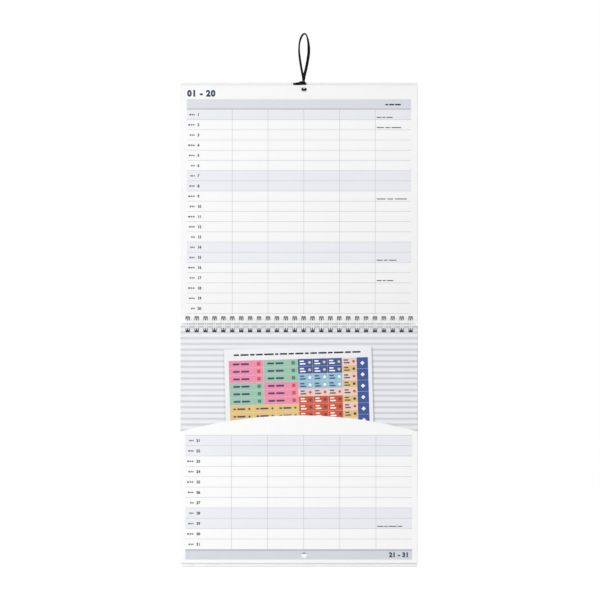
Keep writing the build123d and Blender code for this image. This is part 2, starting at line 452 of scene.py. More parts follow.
tied = bmesh.new()
tied.from_mesh(knot_turns)
tied.from_mesh(length_of_ribbon(front_end, 4, (0.15, 0.1, 1)))
tied.from_mesh(length_of_ribbon(back_end, 4, (0.15, -0.15, 1)))
for side in (-1, 1):
    strand = [(nail_hole_x + side * apart / 2, y, z) for apart, y, z in carrying]
    tied.from_mesh(length_of_ribbon(strand, 6, (1, 0, 0)))
knot = piece("ribbon_knot_tied", as_mesh(tied, "knot"), ribbon_cloth)
print("knot", len(knot.data.polygons), "faces")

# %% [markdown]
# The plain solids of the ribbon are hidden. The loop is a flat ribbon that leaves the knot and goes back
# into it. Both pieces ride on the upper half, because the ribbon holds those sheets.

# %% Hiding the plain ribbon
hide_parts("ribbon_loop")
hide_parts("ribbon_knot")
for made in (ribbon_loop, knot):
    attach(made, "upper_half")

# %% [markdown]
# Away from the light, at their right side and their foot, the sheets bend back by a hair and end in a
# slightly darker line. The leaf turned up also leans back a little towards the wire and dims there, and the
# last centimetre, which bends forward over the loops, catches the light again. All this is a matter of colour
# on flat solids. The group takes the places of the edges and of the wire, and darkens the last millimetre or
# two before each edge, the foot more than the side.

# %% Shaded edges
bend_reach = 250 * mm
turn_reach = 16 * mm
tree, given = shader_group("shaded edges", {
    "Colour": (0.9, 0.9, 0.9, 1.0), "Right": 0.0, "Foot": 0.0, "Side Width": 1.6 * mm, "Foot Width": 1.6 * mm,
    "Side Shade": 0.24, "Foot Shade": 0.4, "Wire": 0.0, "Wire Shade": 0.0, "Wire Light": 0.0,
})
x, _, z = parts(tree, own_place(tree))
inside = maths(tree, "SUBTRACT", given["Right"], given["Side Width"])
over = maths(tree, "ADD", given["Foot"], given["Foot Width"])
bend_end = maths(tree, "ADD", given["Wire"], bend_reach)
turn_end = maths(tree, "ADD", given["Wire"], turn_reach)
at_right = ranged(tree, x, inside, given["Right"], 0.0, given["Side Shade"], "SMOOTHSTEP")
at_foot = ranged(tree, z, over, given["Foot"], 0.0, given["Foot Shade"], "SMOOTHSTEP")
at_wire = ranged(tree, z, bend_end, given["Wire"], 0.0, given["Wire Shade"])
at_turn = ranged(tree, z, turn_end, given["Wire"], 0.0, given["Wire Light"])
at_edges = maths(tree, "MAXIMUM", at_right, at_foot)
lost = maths(tree, "ADD", at_edges, maths(tree, "SUBTRACT", at_wire, at_turn))
gives(tree, Colour=scaled(tree, given["Colour"], maths(tree, "SUBTRACT", 1.0, lost)))
shaded_edges = tree
print("made", shaded_edges.name)

# %% [markdown]
# Paper looks white, but close up its shade wanders a little and fine fibres stand up from it. One group of
# nodes gives both for every paper and card on the calendar. It reads Object coordinates, so the grain runs
# on across a sheet and stays with it when the sheet turns.

# %% Paper's grain
tree, given = shader_group("paper grain", {
    "Colour": (0.9, 0.9, 0.9, 1.0), "Clouding": 0.015, "Fibre": 0.35 * mm,
})
spot = own_place(tree)
stretched = out(tree, "ShaderNodeMapping", {"Vector": spot, "Scale": (1.0, 1.0, 0.35)})
fibres = noise(tree, stretched, maths(tree, "DIVIDE", 1.0, given["Fibre"]), 4.0, 0.65)
clouds = noise(tree, spot, 28.0, 3.0)
darker = maths(tree, "MULTIPLY", maths(tree, "ADD", clouds, fibres), given["Clouding"])
gives(tree, Colour=scaled(tree, given["Colour"], maths(tree, "SUBTRACT", 1.0, darker)), Height=fibres)
paper_grain = tree


def paper(name, colour, roughness=0.7, clouding=0.02, fibre=0.35, tooth=0.02, edges=None, coat=0.0):
    """A paper or card: its colour or what makes it, its fibres' size and height in mm, its shaded edges."""

    def made_in(tree):
        tone = colour(tree) if callable(colour) else colour
        values = {"Colour": tone, "Clouding": clouding, "Fibre": fibre * mm}
        grain = add(tree, "ShaderNodeGroup", values, node_tree=paper_grain).outputs
        tone = grain["Colour"]
        if edges:
            tone = out(tree, "ShaderNodeGroup", {"Colour": tone, **edges}, node_tree=shaded_edges)
        return {
            "Base Color": tone, "Normal": relief(tree, grain["Height"], 0.6, tooth * mm),
            "Roughness": roughness, "Coat Weight": coat, "Coat Roughness": 0.3,
        }

    return material(name, made_in)


print("made", paper_grain.name)

# %% [markdown]
# The pages are smooth uncoated paper and the covers one card, slightly greyer. The back cover's card is
# painted lighter, painted light that makes up for the shade it lies in below the stack, and it has a clear
# coat. The stickers are satin label paper on a smooth backing. Each gets its own values of the same
# groups. Every solid that keeps its shape has its slot filled with its finish here.

# %% Papers, card and stickers
page_white = linear(250, 250, 250)
page_edges = {"Right": at(leaf_high.x, 0, 0).x, "Foot": at(0, 0, -far_edge).z}
near_wire = {"Wire": wire_axis.z, "Wire Shade": 0.06, "Wire Light": 0.15}
page_paper = paper("page_paper", page_white, edges=page_edges)


def cover_card(node, shade, coat):
    """The card of a cover, as light as the shade says, with this much clear coat."""
    low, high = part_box(node)
    return paper(
        f"{node}_card", linear(shade, shade, shade + 1), roughness=0.5, clouding=0.012, fibre=0.6,
        edges={"Right": high.x, "Foot": low.z, "Foot Width": 1.8 * mm}, coat=coat,
    )


sticker_colours = {
    "pink": (238, 142, 172), "mint": (154, 196, 174), "mustard": (228, 194, 122), "navy": (48, 80, 150),
    "sky": (148, 192, 212), "blush": (238, 206, 196), "orange": (208, 78, 34),
}
finishes = {
    "front_cover": cover_card("front_cover", 245, 0.0),
    # painted light: the back cover's card is lighter to make up for the shade it lies in below the stack
    "back_cover": cover_card("back_cover", 254, 1.0),
    "turned_leaf": page_paper,
    "month_leaf": paper("month_paper", page_white, edges=page_edges | near_wire),
    "pocket_front": page_paper,
    "sticker_sheet": paper("backing_paper", linear(240, 240, 243), roughness=0.35, fibre=0.25, tooth=0.008),
}
for name, colour in sticker_colours.items():
    finishes[f"stickers_{name}"] = paper(
        f"label_{name}", linear(*colour), roughness=0.38, clouding=0.03, fibre=0.2, tooth=0.006
    )


def finish_solid(node, finish):
    """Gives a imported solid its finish."""
    slots = frame["nodes"][node].data.materials
    slots.clear()
    slots.append(finish)


for node, finish in finishes.items():
    finish_solid(node, finish)
print(len(finishes), "solids have their finish")

# %% [markdown]
# The page behind the pocket is printed with soft grey stripes from edge to edge. They could be modelled as
# ink, but they fade at their edges, which is a matter of colour. A group makes them from the height on the
# page, and a mask keeps them to the printed front, so that the back of the sheet stays white. The real sheet
# of stickers bows off the page by a hair and shades it softly beside its edges, most at the right, away from
# the light. The flat solid can't, so this too is colour, laid out from the sheet's own middle and lean.

# %% Striped page
first_stripe = 11.6  # below the wire
stripe_pitch = 8.2
tree, given = shader_group("stripe print", {
    "Ground": (0.8, 0.8, 0.8, 1.0), "Stripe": (0.6, 0.6, 0.6, 1.0),
    "Pitch": stripe_pitch * mm, "Width": 3.1 * mm, "Softness": 1.0 * mm,
})
up = maths(tree, "SUBTRACT", parts(tree, own_place(tree))["Z"], at(0, 0, -first_stripe).z)
from_stripe = maths(tree, "PINGPONG", up, maths(tree, "MULTIPLY", given["Pitch"], 0.5))
half_width = maths(tree, "MULTIPLY", given["Width"], 0.5)
near_edge = maths(tree, "SUBTRACT", half_width, given["Softness"])
past_edge = maths(tree, "ADD", half_width, given["Softness"])
ink = ranged(tree, from_stripe, near_edge, past_edge, 1.0, 0.0, "SMOOTHSTEP")
gives(tree, Colour=blend(tree, ink, given["Ground"], given["Stripe"]))
stripe_print = tree

sheet_w, sheet_h = 210 * mm, 280 * mm
sheet_lean = math.radians(1.6)
lean = Matrix.Rotation(-sheet_lean, 4, "Y")
sheet_low, sheet_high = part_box("sticker_sheet")
sheet_middle = (sheet_low + sheet_high) / 2
shade_reach = 3.6 * mm
left_shade, right_shade = 0.14, 0.46
fade_at_top = 5 * mm


def kept_beside_sheet(tree):
    """How much light is kept beside the sheet of stickers: 1 away from it and less next to its sides."""
    half = sheet_w / 2
    across, _, up = parts(tree, out(tree, "ShaderNodeMapping", {
        "Vector": own_place(tree), "Location": sheet_middle, "Rotation": (0.0, -sheet_lean, 0.0),
    }, vector_type="TEXTURE"))
    near = ranged(tree, maths(tree, "ABSOLUTE", across), half + shade_reach, half, ease="SMOOTHSTEP")
    below_top = ranged(tree, up, sheet_h / 2, sheet_h / 2 - fade_at_top)
    most = ranged(tree, across, -half, half, left_shade, right_shade)
    lost = maths(tree, "MULTIPLY", maths(tree, "MULTIPLY", near, below_top), most)
    return maths(tree, "SUBTRACT", 1.0, lost)


def striped_front(tree):
    """White, with the stripes and the shade on the side that faces the viewer."""
    stripes = out(tree, "ShaderNodeGroup", {
        "Ground": linear(236, 237, 241), "Stripe": linear(209, 210, 215)}, node_tree=stripe_print)
    facing = parts(tree, add(tree, "ShaderNodeTexCoord").outputs["Normal"])["Y"]
    printed = maths(tree, "LESS_THAN", facing, -0.5)
    return blend(tree, printed, page_white, scaled(tree, stripes, kept_beside_sheet(tree)))


striped_page = paper("striped_page", striped_front, edges=page_edges | {"Side Shade": 0.32})
finish_solid("pocket_page", striped_page)
print("stripes", round((far_edge - first_stripe) / stripe_pitch), "on the page")

# %% [markdown]
# The twin-loop wire is one length of steel wire with a white coating. It is bent into pairs of legs that come
# round in front of the sheets, and behind the upper ones each pair's rounded tip closes against the straight
# bars between the pairs. All its loops are alike, so only one is drawn, from the middle of one bar to the
# middle of the next. Geometry Nodes give it its round section and set the copies side by side, and their ends
# meet, so the wire runs on. This takes the place of the plain many-sided solid.

# %% One loop's line
ring_r = 8.0
wire_d = 1.2
leg_spacing = 2.8
seam_angle = 35.0
seam_gap = 0.5
bar_bend = 0.9  # radius of the bend between a leg and a bar
leg_steps = 40
wire_low, wire_high = box_mm("twin_loop_wire")
loop_count = round((wire_high.x - wire_low.x) / loop_pitch)


def on_ring(x, degrees):
    """A point of the loops' round, x mm from a loop's middle, in metres from the axis."""
    angle = math.radians(degrees)
    return Vector((x, ring_r * math.cos(angle), ring_r * math.sin(angle))) * mm


def loop_line():
    """The line of one loop, with a rounded tip and rounded bends at its bars."""
    a_mm = 180 / math.pi / ring_r  # degrees of the round for a millimetre along it
    tip_r = leg_spacing / 2
    bar = seam_angle + (wire_d / 2 + seam_gap / 2) * a_mm
    tip = seam_angle - (wire_d / 2 + seam_gap / 2 + tip_r) * a_mm + 360
    half = [on_ring(-loop_pitch / 2, bar)]
    for i in range(5):
        turn = math.pi / 2 * i / 4
        x = -tip_r - bar_bend + bar_bend * math.sin(turn)
        half.append(on_ring(x, bar + bar_bend * (1 - math.cos(turn)) * a_mm))
    start = bar + bar_bend * a_mm
    half += [on_ring(-tip_r, start + (tip - start) * i / leg_steps) for i in range(1, leg_steps + 1)]
    turns = [math.pi * i / 8 for i in range(1, 8)]
    tip_points = [on_ring(-tip_r * math.cos(t), tip + tip_r * math.sin(t) * a_mm) for t in turns]
    return half + tip_points + [Vector((-p.x, p.y, p.z)) for p in reversed(half)]


loop_points = loop_line()
print(loop_count, "loops,", len(loop_points), "points in one")

# %% [markdown]
# The tree below is the machine that bends the wire: a round section carried along the line, set out at
# the pitch, and made real. A plain mesh comes out of it, which is what the export and the table need.

# %% Helpers for geometry


def geometry_group(name, inputs):
    """A Geometry Nodes tree with named inputs, each with its kind, and its input sockets."""
    tree = bpy.data.node_groups.new(name, "GeometryNodeTree")
    for label, kind in {"Geometry": "Geometry", **inputs}.items():
        tree.interface.new_socket(label, in_out="INPUT", socket_type=f"NodeSocket{kind}")
    return tree, tree.nodes.new("NodeGroupInput").outputs


def vector(tree, x=0.0, y=0.0, z=0.0):
    """A vector of three numbers."""
    return out(tree, "ShaderNodeCombineXYZ", {"X": x, "Y": y, "Z": z})


def in_a_row(tree, count, offset, start=(0.0, 0.0, 0.0)):
    """Points in a straight row."""
    inputs = {"Count": count, "Start Location": start, "Offset": offset}
    return out(tree, "GeometryNodeMeshLine", inputs, mode="OFFSET")


def copied(tree, points, thing, chosen=True):
    """Real copies of a thing on those of the points that are chosen."""
    inputs = {"Points": points, "Instance": thing, "Selection": chosen}
    return out(tree, "GeometryNodeRealizeInstances", {0: out(tree, "GeometryNodeInstanceOnPoints", inputs)})


def finished(tree, geometry, finish):
    """The geometry in its finish."""
    return out(tree, "GeometryNodeSetMaterial", {"Geometry": geometry, "Material": finish})


def grown(name, mesh, tree, values):
    """The plain mesh that a tree makes from a mesh, with its named inputs set to these values."""
    holder = bpy.data.objects.new(name, mesh)
    scene.collection.objects.link(holder)
    modifier = holder.modifiers.new(name, "NODES")
    modifier.node_group = tree
    for item in tree.interface.items_tree:
        if item.in_out == "INPUT" and item.name in values:
            modifier[item.identifier] = values[item.name]
    bpy.context.view_layer.update()
    ready = holder.evaluated_get(bpy.context.evaluated_depsgraph_get())
    made = bpy.data.meshes.new_from_object(ready)
    bpy.data.objects.remove(holder)
    return made


print("helpers for geometry: geometry_group, vector, in_a_row, copied, finished, grown")

# %% Wire tree
tree, given = geometry_group("bound wire", {
    "Loops": "Int", "Pitch": "Float", "Radius": "Float", "Sides": "Int", "Finish": "Material",
})
line = out(tree, "GeometryNodeMeshToCurve", {"Mesh": given["Geometry"]})
round_section = {"Resolution": given["Sides"], "Radius": given["Radius"]}
section = out(tree, "GeometryNodeCurvePrimitiveCircle", round_section)
one_loop = out(tree, "GeometryNodeCurveToMesh", {"Curve": line, "Profile Curve": section})
places = in_a_row(tree, given["Loops"], vector(tree, x=given["Pitch"]))
inputs = {"Geometry": copied(tree, places, one_loop), "Distance": 0.02 * mm}
welded = out(tree, "GeometryNodeMergeByDistance", inputs)
smooth = out(tree, "GeometryNodeSetShadeSmooth", {0: welded})
gives(tree, Geometry=finished(tree, smooth, given["Finish"]))
wire_tree = tree
print("wire tree", len(wire_tree.nodes), "nodes")

# %% [markdown]
# The coating is a hard white film on steel. It is smooth but not quite even, as a dipped coating is, and
# the studio light runs along it in thin bright lines.

# %% The wire


def wire_film(tree):
    """The coating's shader inputs: two near whites and a slight ripple."""
    ripple = noise(tree, own_place(tree), 900.0, 2.0)
    return {
        "Base Color": blend(tree, ripple, linear(232, 233, 236), linear(246, 246, 248)),
        "Normal": relief(tree, ripple, 0.3, 0.03 * mm),
        "Roughness": 0.3, "Coat Weight": 0.4, "Coat Roughness": 0.15,
    }


wire_coating = material("white_wire_coating", wire_film)
loop_mesh = bpy.data.meshes.new("loop line")
loop_mesh.from_pydata(loop_points, [(i, i + 1) for i in range(len(loop_points) - 1)], [])
wire_mesh = grown("bound wire", loop_mesh, wire_tree, {
    "Loops": loop_count, "Pitch": loop_pitch * mm, "Radius": wire_d / 2 * mm, "Sides": 12,
    "Finish": wire_coating,
})
wire_mesh.transform(Matrix.Translation(at(-(loop_count - 1) / 2 * loop_pitch, 0, 0)))
twin_loop_wire = piece("bound_wire", wire_mesh, wire_coating)
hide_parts("twin_loop_wire")
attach(twin_loop_wire, "upper_half")
print("wire", len(wire_mesh.polygons), "faces")

# %% [markdown]
# The months to come are a block of eighteen punched sheets. From the side one sees their edges, a hair
# apart and not quite flush. One sheet is cut as a filled flat outline with its holes, and Geometry Nodes
# stack it, each copy moved by a small random amount from a fixed seed. This takes the place of the plain
# block, and keeps its form.

# %% Outlines and cut sheets


def box_outline(left, right, foot, top):
    """The corners of a rectangle, from its lower left corner round."""
    return [(left, foot), (right, foot), (right, top), (left, top)]


def disc_outline(x, z, r, corners=20, start=0.0):
    """Points evenly round a middle: a disc, or with few corners a square, a lozenge or a hexagon."""
    turns = [start + 2 * math.pi * i / corners for i in range(corners)]
    return [(x + r * math.cos(a), z + r * math.sin(a)) for a in turns]


def moved(mesh, x=0.0, y=0.0, z=0.0):
    """The mesh after a move in mm."""
    mesh.transform(Matrix.Translation(Vector((x, y, z)) * mm))
    return mesh


def standing(data):
    """The mesh of a flat curve or text, stood up to face the viewer."""
    mesh = mesh_of(data)
    mesh.transform(Matrix.Rotation(math.pi / 2, 4, "X"))
    return mesh


def cut_sheet(outlines, thick):
    """A sheet in the first outline with the others cut out of it, in mm, its middle at y = 0."""
    cut = bpy.data.curves.new("cut sheet", "CURVE")
    cut.dimensions = "2D"
    cut.fill_mode = "BOTH"
    cut.extrude = thick / 2 * mm
    for points in outlines:
        spline = cut.splines.new("POLY")
        spline.points.add(len(points) - 1)
        for control, (x, z) in zip(spline.points, points):
            control.co = (x * mm, z * mm, 0, 1)
        spline.use_cyclic_u = True
    return standing(cut)


print("helpers for sheets: box_outline, disc_outline, moved, standing, cut_sheet")

# %% One punched sheet
sheet_slip = 0.12  # how far a sheet may lie out of line
coming_low, coming_high = box_mm("coming_leaves")
paper_t = 0.12
hole_w, hole_h, hole_near = 6.2, 6.0, 5.5
nail_hole_r = 4.0
lower_nail_hole = 328.8


def punched_sheet(slack):
    """A sheet as large as the coming leaves less a slack all round, with its holes."""
    outlines = [box_outline(
        coming_low.x + slack, coming_high.x - slack, coming_low.z + slack, coming_high.z - slack)]
    for i in range(loop_count):
        x = (i - (loop_count - 1) / 2) * loop_pitch
        outlines.append(box_outline(x - hole_w / 2, x + hole_w / 2, -hole_near - hole_h, -hole_near))
    outlines.append(disc_outline(nail_hole_x, -lower_nail_hole, nail_hole_r, 32))
    return cut_sheet(outlines, paper_t)


one_sheet = punched_sheet(sheet_slip)
print("one sheet", len(one_sheet.polygons), "faces")

# %% Stack tree
tree, given = geometry_group("stacked sheets", {
    "Sheets": "Int", "Spacing": "Float", "Slip": "Float", "Seed": "Int", "Finish": "Material",
})
places = in_a_row(tree, given["Sheets"], vector(tree, y=given["Spacing"]))
less = maths(tree, "MULTIPLY", given["Slip"], -1.0)
slip = add(tree, "FunctionNodeRandomValue", {
    "Min": vector(tree, less, 0.0, less), "Max": vector(tree, given["Slip"], 0.0, given["Slip"]),
    "Seed": given["Seed"],
}, data_type="FLOAT_VECTOR").outputs["Value"]
slipped = out(tree, "GeometryNodeSetPosition", {"Geometry": places, "Offset": slip})
gives(tree, Geometry=finished(tree, copied(tree, slipped, given["Geometry"]), given["Finish"]))

sheets = 18
spacing = (coming_high.y - coming_low.y - paper_t) / (sheets - 1)
stack = grown("stacked sheets", one_sheet, tree, {
    "Sheets": sheets, "Spacing": spacing * mm, "Slip": sheet_slip * mm, "Seed": 5, "Finish": page_paper,
})
stack.transform(Matrix.Translation(at(0, coming_low.y + paper_t / 2, 0)))
coming_pages = piece("coming_pages", stack, striped_page)
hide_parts("coming_leaves")
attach(coming_pages, "lower_half")
print("stack", len(stack.polygons), "faces")

# %% [markdown]
# The month's table is printed in a few pale inks: a tinted band with a darker line, thin rules for the
# days and columns, and a tint over each weekend. Ink has no thickness to speak of, but a film of three
# hundredths of a millimetre keeps every rule sharp at any distance. Geometry Nodes lay it out from the
# number of days, the row's height and the columns, so both halves of the page use one tree. A day is
# tinted when its number leaves 0 or 1 after sevens, which are the weekend's two days in this month.

# %% Table tree
tree, given = geometry_group("month table", {
    "Days": "Int", "First Day": "Int", "Row Height": "Float", "Width": "Float", "First Column": "Float",
    "Column Pitch": "Float", "Columns": "Int", "Rule": "Float", "Film": "Float",
    "Weekend Ink": "Material", "Rule Ink": "Material",
})


def plates(tree, count, start, offset, size, finish, chosen=True):
    """Flat plates of one size in a row, in their finish. Start, offset and size are three numbers each."""
    points = in_a_row(tree, count, vector(tree, *offset), vector(tree, *start))
    plate = out(tree, "GeometryNodeMeshCube", {"Size": vector(tree, *size)})
    return finished(tree, copied(tree, points, plate, chosen), finish)


days, width, row_h, rule = (given[name] for name in ("Days", "Width", "Row Height", "Rule"))
half_width = maths(tree, "MULTIPLY", width, 0.5)
table_h = maths(tree, "MULTIPLY", row_h, days)
rule_film = maths(tree, "MULTIPLY", given["Film"], 1.5)
number = maths(tree, "ADD", out(tree, "GeometryNodeInputIndex"), given["First Day"])
weekend = maths(tree, "LESS_THAN", maths(tree, "MODULO", number, 7.0), 1.5)
down = (0.0, 0.0, maths(tree, "MULTIPLY", row_h, -1.0))
first_row = (half_width, 0.0, maths(tree, "MULTIPLY", row_h, -0.5))
tints = plates(tree, days, first_row, down, (width, given["Film"], row_h), given["Weekend Ink"], weekend)
rules = plates(
    tree, maths(tree, "ADD", days, 1.0), (half_width, 0.0, 0.0), down, (width, rule_film, rule),
    given["Rule Ink"],
)
columns = plates(
    tree, given["Columns"], (given["First Column"], 0.0, maths(tree, "MULTIPLY", table_h, -0.5)),
    (given["Column Pitch"], 0.0, 0.0), (rule, rule_film, table_h), given["Rule Ink"],
)
table = add(tree, "GeometryNodeJoinGeometry")
for part in (columns, rules, tints):
    tree.links.new(part, table.inputs[0])
gives(tree, Geometry=table.outputs[0])
table_tree = tree
print("table tree", len(table_tree.nodes), "nodes")

# %% [markdown]
# Inks are thin, so the paper's own grain shows through. Each ink is the page's paper in another colour.
# The words of the real page are not copied: short rounded dashes stand in their places, and the numbers of
# the days are plain figures.

# %% Inks
ink_colours = {
    "band": (221, 223, 231), "foot": (213, 216, 224), "band_rule": (188, 192, 202),
    "weekend": (236, 237, 242), "rule": (170, 172, 178), "figure": (24, 28, 42), "word": (76, 80, 94),
    "title": (36, 50, 74),
}
inks = {name: paper(f"{name}_ink", linear(*colour)) for name, colour in ink_colours.items()}
print(len(inks), "inks")

# %% Marks in ink
ink_t = 0.03
figure_share = 0.73  # how tall a figure of this typeface is, as a share of its size
end_steps = 5  # round a dash's end


def printed(outlines, finish, thick=ink_t):
    """A mesh of flat plates in one ink, given in mm on the sheet and standing off it towards the viewer."""
    made = bmesh.new()
    for points in outlines:
        rear, front = [[made.verts.new(Vector((x, y, z)) * mm) for x, z in points] for y in (0, -thick)]
        made.faces.new(front)
        made.faces.new(rear[::-1])
        for i in range(len(points)):
            made.faces.new((rear[i - 1], rear[i], front[i], front[i - 1]))
    bmesh.ops.recalc_face_normals(made, faces=made.faces)
    mesh = as_mesh(made, "print")
    mesh.materials.append(finish)
    return mesh


def dashes(x, z, lengths, tall, gap=0.9):
    """Outlines of round-ended dashes in a row, by their left end, middle height, lengths, height and gap."""
    outlines, r = [], tall / 2
    turns = [math.pi * (i / end_steps - 0.5) for i in range(end_steps + 1)]
    for length in lengths:
        ends = ((x + length - r, 1), (x + r, -1))
        outlines.append([
            (middle + side * r * math.cos(t), z + side * r * math.sin(t))
            for middle, side in ends for t in turns
        ])
        x += length + gap
    return outlines


def figures(text, x, z, tall, finish, align="LEFT", weight=0.26, spacing=1.0):
    """A number as a flat mesh, x and z in mm at its side and middle, its strokes thickened by weight mm."""
    words = bpy.data.curves.new("figures", "FONT")
    words.body = text
    words.size = tall / figure_share * mm
    words.extrude = ink_t / 2 * mm
    words.offset = weight * mm
    words.space_character = spacing
    words.resolution_u = 3
    words.align_x = align
    mesh = moved(standing(words), x, -ink_t / 2, z - tall / 2)
    mesh.materials.clear()
    mesh.materials.append(finish)
    return mesh


print("helpers for print: printed, dashes, figures")

# %% [markdown]
# The upper half of a month has the title's place, the header band and days 1 to 20. It is laid out from
# the sheet's far left corner, in millimetres, and then put on a page. The same print is on the back of the
# pocket's page, where it comes into view when that page is turned up.

# %% Days of a month
weekday_lengths = (6.6, 8.0, 9.6, 7.6, 9.8, 8.6, 5.6)  # of each one's dashes, from the weekend's first day
days_above = 20
days_in_month = 31
number_gap = 3.8  # from a weekday's end to its number
number_tall = 3.9


def days_of(first, last, left, right, top, row_h, first_column, pitch, weekday_right):
    """The table of some days, its rows down from top, and its weekday dashes and numbers, in mm."""
    table = grown("month table", bpy.data.meshes.new("table"), table_tree, {
        "Days": last - first + 1, "First Day": first, "Row Height": row_h * mm, "Width": (right - left) * mm,
        "First Column": (first_column - left) * mm, "Column Pitch": pitch * mm, "Columns": 5,
        "Rule": 0.4 * mm, "Film": ink_t * mm, "Weekend Ink": inks["weekend"], "Rule Ink": inks["rule"],
    })
    words, numbers = [], []
    for day in range(first, last + 1):
        z = top - row_h * (day - first + 0.5)
        length = weekday_lengths[day % 7]
        shares = (length * 0.36, length * 0.26, length * 0.26)
        words += dashes(weekday_right - length, z - 0.2, shares, 2.4, gap=length * 0.05)
        numbers.append(figures(str(day), weekday_right + number_gap, z, number_tall, inks["figure"]))
    return moved(table, left, 0, top), printed(words, inks["word"]), *numbers


print("days 1 to", days_above, "above, and the rest of the", days_in_month, "below")

# %% Upper half of a month
rule_t, title_t = 1.6 * ink_t, 2 * ink_t


def upper_month():
    """The upper half's print, laid out from the sheet's far left corner."""
    left, right, band_top, top, row_h = 9.0, 328.4, -20.3, -34.8, 14.53
    table, *marks = days_of(1, days_above, left, right, top, row_h, 73.7, 50.95, 20.4)
    small = []
    for day, length in ((1, 23.0), (2, 35.0), (9, 43.0), (15, 28.5), (17, 24.0)):
        shares = (length * 0.3, length * 0.2, length * 0.4)
        small += dashes(279.4, top - row_h * (day - 0.22), shares, 1.4, gap=length * 0.05)
    return [
        table,
        printed([box_outline(left, right, top + 0.6, band_top)], inks["band"]),
        printed([box_outline(left, right, top, top + 1.5)], inks["band_rule"], rule_t),
        printed(dashes(291.5, -28.0, (4.6, 7.4, 8.6), 2.2), inks["title"], title_t),
        printed(small, inks["word"]),
        figures("01 - 20", left + 0.8, -11.6, 8.6, inks["title"], weight=0.75, spacing=1.16),
        *marks,
    ]


upper_print = upper_month()
print("upper half in", len(upper_print), "meshes")

# %% [markdown]
# The lower half has days 21 to 31 and the foot band, printed on the pocket's front. It is laid out from
# the sheet's lower left corner. The next month's page, under the pocket leaf, has the same.

# %% Lower half of a month
nail_in_page = (leaf_w / 2 + nail_hole_x, far_edge - lower_nail_hole, nail_hole_r)


def around_hole(outline, hole):
    """A rectangle in two outlines that leave a round hole between them, whose middle is inside it."""
    (left, foot), (right, _), (_, top), _ = outline
    middle = sum(x for x, _ in hole) / len(hole)
    sides = []
    for keep, end in ((-1, left), (1, right)):
        rim = sorted((p for p in hole if (p[0] - middle) * keep >= -1e-6), key=lambda p: p[1])
        sides.append([(end, foot), (middle, foot), *rim, (middle, top), (end, top)])
    return sides


def lower_month():
    """The lower half's print, laid out from the sheet's lower left corner."""
    left, right, foot, band_top, row_h = 7.0, 329.8, 5.7, 20.3, 14.77
    top = band_top + (days_in_month - days_above) * row_h
    table, *marks = days_of(days_above + 1, days_in_month, left, right, top, row_h, 72.5, 51.46, 18.9)
    band = box_outline(left, right, foot, band_top)
    title = figures("21 - 31", right - 4.8, 12.8, 6.4, inks["title"], "RIGHT", weight=0.55, spacing=1.1)
    return [
        table,
        printed(around_hole(band, disc_outline(*nail_in_page)), inks["foot"]),
        printed([box_outline(left, right, band_top - 2.4, band_top)], inks["band_rule"], rule_t),
        printed(dashes(280.0, top - row_h * 8.78, (9.0, 5.0, 12.0, 7.0), 1.4, gap=1.0), inks["word"]),
        moved(title, y=-ink_t),
        *marks,
    ]


lower_print = lower_month()
print("lower half in", len(lower_print), "meshes")

# %% [markdown]
# Each half goes on its page. The print on the back of the pocket's page is turned half round the wire's
# direction, so that it reads the right way once the page is turned up. The page under it then shows the next
# pocket, a thin curved front with a lower half of its own.

# %% Printing the pages
sink = 0.01
pocket_side, pocket_middle = 188, 211
next_pocket_t = 0.06
half_turn = Matrix.Rotation(math.pi, 4, "X")


def on_front(node, z):
    """The corner of a sheet, with the ink towards the viewer."""
    return Matrix.Translation(at(leaf_low.x, box_mm(node)[0].y + sink, z))


def next_pocket():
    """The next pocket's curved front, laid out from the sheet's lower left corner."""
    rise = pocket_middle - pocket_side
    r = (leaf_w ** 2 / 4 + rise ** 2) / (2 * rise)
    across = [leaf_w * (1 - i / 40) for i in range(41)]
    curve = [(x, pocket_middle - r + math.sqrt(r ** 2 - (x - leaf_w / 2) ** 2)) for x in across]
    front = cut_sheet([[(0, 0), (leaf_w, 0), *curve], disc_outline(*nail_in_page, 32)], next_pocket_t)
    front.materials.clear()
    front.materials.append(page_paper)
    return [moved(front, y=-next_pocket_t / 2), *(moved(mesh, y=-next_pocket_t) for mesh in lower_month())]


def together(name, meshes, place, body):
    """Joins printed meshes, each with its own ink, puts them in place and rides them on a body."""
    slots = list(dict.fromkeys(finish for mesh in meshes for finish in mesh.materials))
    whole = bmesh.new()
    for mesh in meshes:
        first = len(whole.faces)
        whole.from_mesh(mesh)
        whole.faces.ensure_lookup_table()
        for face in whole.faces[first:]:
            face.material_index = slots.index(mesh.materials[face.material_index])
    mesh = as_mesh(whole, name)
    mesh.transform(place)
    made = piece(name, mesh, *slots)
    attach(made, body)
    print(name, len(mesh.polygons), "faces")


behind_page = Matrix.Translation(at(leaf_low.x, box_mm("pocket_page")[1].y - sink, -far_edge)) @ half_turn
together("upper_month_print", upper_print, on_front("month_leaf", far_edge), "upper_half")
together("lower_month_print", lower_print, on_front("pocket_front", -far_edge), "pocket_leaf")
together("next_month_print", upper_print, behind_page, "pocket_leaf")
together("next_pocket_print", next_pocket(), on_front("coming_leaves", -far_edge), "lower_half")

# %% [markdown]
# A sticker carries a word and a small sign. Neither the words nor the signs are copied: dashes stand for
# the words, and plain squares, lozenges and hexagons for the signs. Their places come from the stickers
# themselves: in a copy of the solids of one colour each front becomes one face, which gives its middle and
# its size.

# %% Where the stickers are


